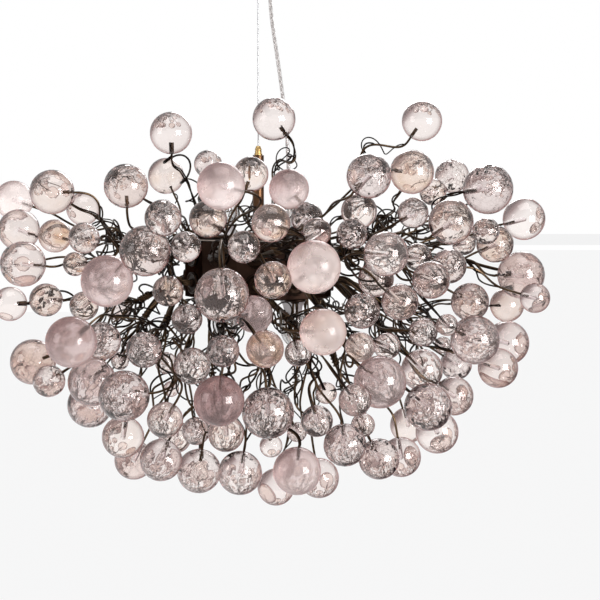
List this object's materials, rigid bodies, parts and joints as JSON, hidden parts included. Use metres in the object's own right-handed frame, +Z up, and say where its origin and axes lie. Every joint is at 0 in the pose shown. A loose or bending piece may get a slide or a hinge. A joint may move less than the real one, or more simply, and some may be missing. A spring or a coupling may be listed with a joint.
{
  "type": "bubble chandelier",
  "caption": "Round ceiling pendant of clear tinted balls on branching bronze wires around a flat drum with small lamps, hung on a steel cable and a flex from a cup canopy.",
  "frame": {"origin": "middle of the ceiling bracket's top face, where it meets the ceiling", "axes": "+Z up into the ceiling; the picture looks along +Y, a little downwards, with +X to the right"},
  "size_m": [0.5885, 0.5496, 0.6109],
  "materials": {
    "dark_bronze": "satin dark bronze",
    "brass": "brushed",
    "steel": "bright",
    "black_plastic": "matt",
    "clear_sleeve": "clear, glossy",
    "clear_resin": "clear, polished, with a smoky pink tint",
    "lamp_white": "opal"
  },
  "bodies": {
    "ceiling": {"ceiling_bracket": "steel", "terminal_block": "black_plastic", "suspension_cable": "steel", "power_flex": "clear_sleeve"},
    "canopy": {"canopy_cup": "dark_bronze", "canopy_nut": "brass", "canopy_gland": "black_plastic"},
    "crown": {"hub_drum": "dark_bronze", "hub_lid": "dark_bronze", "hub_gland": "black_plastic", "stem_tube": "dark_bronze", "stem_nut": "dark_bronze", "cap_nut": "dark_bronze", "cable_gripper": "brass", "wire_connector": "black_plastic", "lampholder_upper_1": "dark_bronze", "lampholder_upper_2": "dark_bronze", "lampholder_lower_1": "dark_bronze", "lampholder_lower_2": "dark_bronze", "spray_upper_01": "clear_resin", "spray_upper_02": "clear_resin", "spray_upper_03": "clear_resin", "spray_upper_04": "clear_resin", "spray_upper_05": "clear_resin", "spray_upper_06": "clear_resin", "spray_upper_07": "clear_resin", "spray_upper_08": "clear_resin", "spray_upper_09": "clear_resin", "spray_upper_10": "clear_resin", "spray_upper_11": "clear_resin", "spray_upper_12": "clear_resin", "spray_lower_01": "clear_resin", "spray_lower_02": "clear_resin", "spray_lower_03": "clear_resin", "spray_lower_04": "clear_resin", "spray_lower_05": "clear_resin", "spray_lower_06": "clear_resin", "spray_lower_07": "clear_resin", "spray_lower_08": "clear_resin", "spray_lower_09": "clear_resin", "spray_lower_10": "clear_resin", "spray_lower_11": "clear_resin", "spray_lower_12": "clear_resin", "spray_under_1": "clear_resin", "spray_under_2": "clear_resin", "spray_under_3": "clear_resin", "spray_under_4": "clear_resin", "spray_under_5": "clear_resin", "spray_under_6": "clear_resin", "spray_under_7": "clear_resin", "spray_under_8": "clear_resin", "sprig_1": "clear_resin", "sprig_2": "clear_resin", "sprig_3": "clear_resin"},
    "bulb_upper_1": {"bulb_upper_1": "lamp_white"},
    "bulb_upper_2": {"bulb_upper_2": "lamp_white"},
    "bulb_lower_1": {"bulb_lower_1": "lamp_white"},
    "bulb_lower_2": {"bulb_lower_2": "lamp_white"}
  },
  "joints": [
    {"name": "canopy_drop", "type": "slide", "parent": "ceiling", "child": "canopy", "axis": [0, 0, -1], "range_m": [0, 0.03]},
    {"name": "crown_swivel", "type": "hinge", "parent": "ceiling", "child": "crown", "pos_m": [0, 0, -0.354], "axis": [0, 0, 1], "range_deg": [-20, 20], "deforming": ["power_flex"]},
    {"name": "bulb_upper_1_out", "type": "slide", "parent": "crown", "child": "bulb_upper_1", "axis": [0, 0, 1], "range_m": [0, 0.024]},
    {"name": "bulb_upper_2_out", "type": "slide", "parent": "crown", "child": "bulb_upper_2", "axis": [0, 0, 1], "range_m": [0, 0.024]},
    {"name": "bulb_lower_1_out", "type": "slide", "parent": "crown", "child": "bulb_lower_1", "axis": [0, 0, -1], "range_m": [0, 0.024]},
    {"name": "bulb_lower_2_out", "type": "slide", "parent": "crown", "child": "bulb_lower_2", "axis": [0, 0, -1], "range_m": [0, 0.024]}
  ]
}
